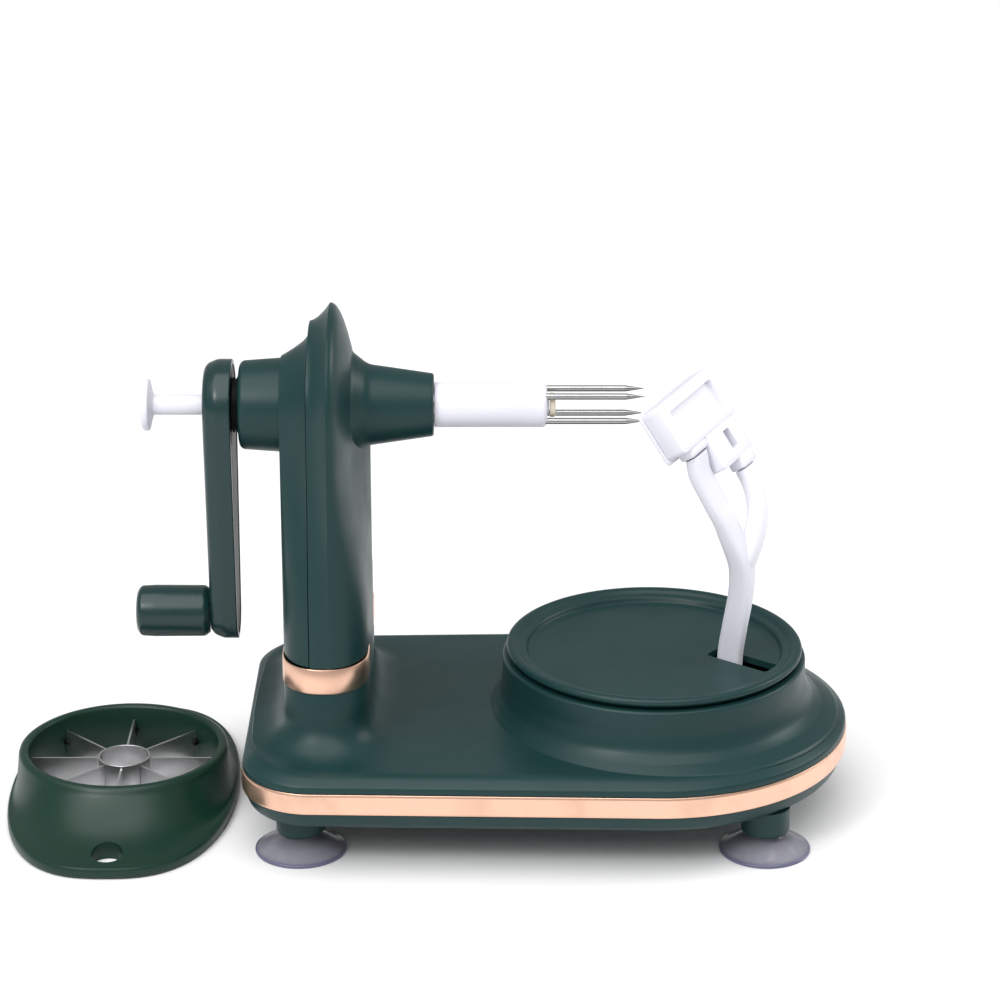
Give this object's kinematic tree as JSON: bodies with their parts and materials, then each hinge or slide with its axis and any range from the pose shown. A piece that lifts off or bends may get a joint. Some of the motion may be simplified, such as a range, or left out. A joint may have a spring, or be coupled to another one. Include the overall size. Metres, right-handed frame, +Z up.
{
  "type": "apple peeler and corer",
  "caption": "Hand-cranked apple peeler on suction feet, with a geared turntable arm and blade, and a separate ring corer and slicer.",
  "frame": {"origin": "middle of the whole set's footprint, on the surface it stands on", "axes": "+X from the crank and slicer towards the turntable, along the spindle; +Y away from the operator; +Z up"},
  "size_m": [0.338, 0.1558, 0.2078],
  "materials": {
    "green_plastic": "dark teal-green moulded plastic, satin with soft highlights",
    "slicer_plastic": "dark green moulded plastic, satin",
    "copper_trim": "rose-copper plated trim, bright",
    "white_plastic": "cool white moulded plastic",
    "black_plastic": "black plastic",
    "steel": "bright steel",
    "natural_plastic": "cream natural plastic",
    "cup_rubber": "soft translucent grey vinyl"
  },
  "bodies": {
    "base": {"base_upper_shell": "green_plastic", "base_lower_shell": "green_plastic", "base_trim_strip": "copper_trim", "suction_cup_1": "cup_rubber", "suction_cup_2": "cup_rubber", "suction_cup_3": "cup_rubber", "suction_cup_4": "cup_rubber", "base_screw_1": "steel", "base_screw_2": "steel", "base_screw_3": "steel", "base_screw_4": "steel", "column_front_shell": "green_plastic", "column_crank_cover": "green_plastic", "column_trim_band": "copper_trim", "spindle_bush_front": "natural_plastic", "spindle_bush_rear": "natural_plastic", "shaft_bush_lower": "natural_plastic", "shaft_bush_upper": "natural_plastic", "idler_axle": "steel", "turntable_axle": "steel"},
    "crank": {"spindle_shaft": "steel", "worm": "white_plastic", "crank_arm": "green_plastic", "crank_inner_cover": "black_plastic", "crank_collar": "black_plastic", "knob_pin": "steel", "spindle_sleeve": "white_plastic", "prong_1": "steel", "prong_2": "steel", "prong_3": "steel", "prong_4": "steel"},
    "knob": {"crank_knob": "green_plastic"},
    "ejector": {"push_rod": "white_plastic", "ejector_nose": "natural_plastic"},
    "lay_shaft": {"vertical_shaft": "steel", "worm_wheel": "white_plastic", "drive_pinion": "white_plastic"},
    "idler": {"idler_gear": "white_plastic"},
    "turntable": {"turntable_disc": "green_plastic", "turntable_gear": "white_plastic", "arm_pivot_pin": "steel", "arm_spring": "steel"},
    "arm": {"peeling_arm": "white_plastic", "blade_carrier": "white_plastic", "blade_guard": "white_plastic"},
    "blade": {"peeling_blade": "steel"},
    "slicer": {"slicer_frame": "slicer_plastic", "slicer_core_ring": "steel", "slicer_blade_1": "steel", "slicer_blade_2": "steel", "slicer_blade_3": "steel", "slicer_blade_4": "steel", "slicer_blade_5": "steel", "slicer_blade_6": "steel", "slicer_blade_7": "steel", "slicer_blade_8": "steel"}
  },
  "joints": [
    {"name": "crank_turn", "type": "hinge", "parent": "base", "child": "crank", "pos_m": [-0.03865, 0, 0.167], "axis": [1, 0, 0], "range_deg": [-4950, 1060]},
    {"name": "knob_spin", "type": "hinge", "parent": "crank", "child": "knob", "pos_m": [-0.09895, 0, 0.0805], "axis": [1, 0, 0], "continuous": true},
    {"name": "push_rod_slide", "type": "slide", "parent": "crank", "child": "ejector", "axis": [1, 0, 0], "range_m": [0, 0.0194]},
    {"name": "lay_shaft_turn", "type": "hinge", "parent": "base", "child": "lay_shaft", "pos_m": [-0.03865, 0.0157, 0.09], "axis": [0, 0, 1], "range_deg": [-107, 496]},
    {"name": "idler_turn", "type": "hinge", "parent": "base", "child": "idler", "pos_m": [0.00772, 0.01915, 0.03], "axis": [0, 0, 1], "range_deg": [-119.5, 26]},
    {"name": "turntable_turn", "type": "hinge", "parent": "base", "child": "turntable", "pos_m": [0.09105, 0, 0.06], "axis": [0, 0, 1], "range_deg": [-20.1, 93.2]},
    {"name": "arm_tilt", "type": "hinge", "parent": "turntable", "child": "arm", "pos_m": [0.12101, -0.00615, 0.05], "axis": [0.6157, 0.788, 0], "range_deg": [0, 38], "stiffness_Nm_per_rad": 0.06, "springref_deg": -20.05},
    {"name": "blade_swivel", "type": "hinge", "parent": "arm", "child": "blade", "pos_m": [0.1028, -0.00575, 0.1654], "axis": [0.5353, 0.8307, 0.153], "range_deg": [-16, 16]},
    {"name": "slicer_slide", "type": "slide", "parent": "base", "child": "slicer", "axis": [0, -1, 0], "range_m": [0, 0.12]}
  ],
  "couplings": [
    {"joint": "lay_shaft_turn", "follows": "crank_turn", "ratio": -0.1},
    {"joint": "idler_turn", "follows": "crank_turn", "ratio": 0.024},
    {"joint": "turntable_turn", "follows": "crank_turn", "ratio": -0.01875}
  ]
}
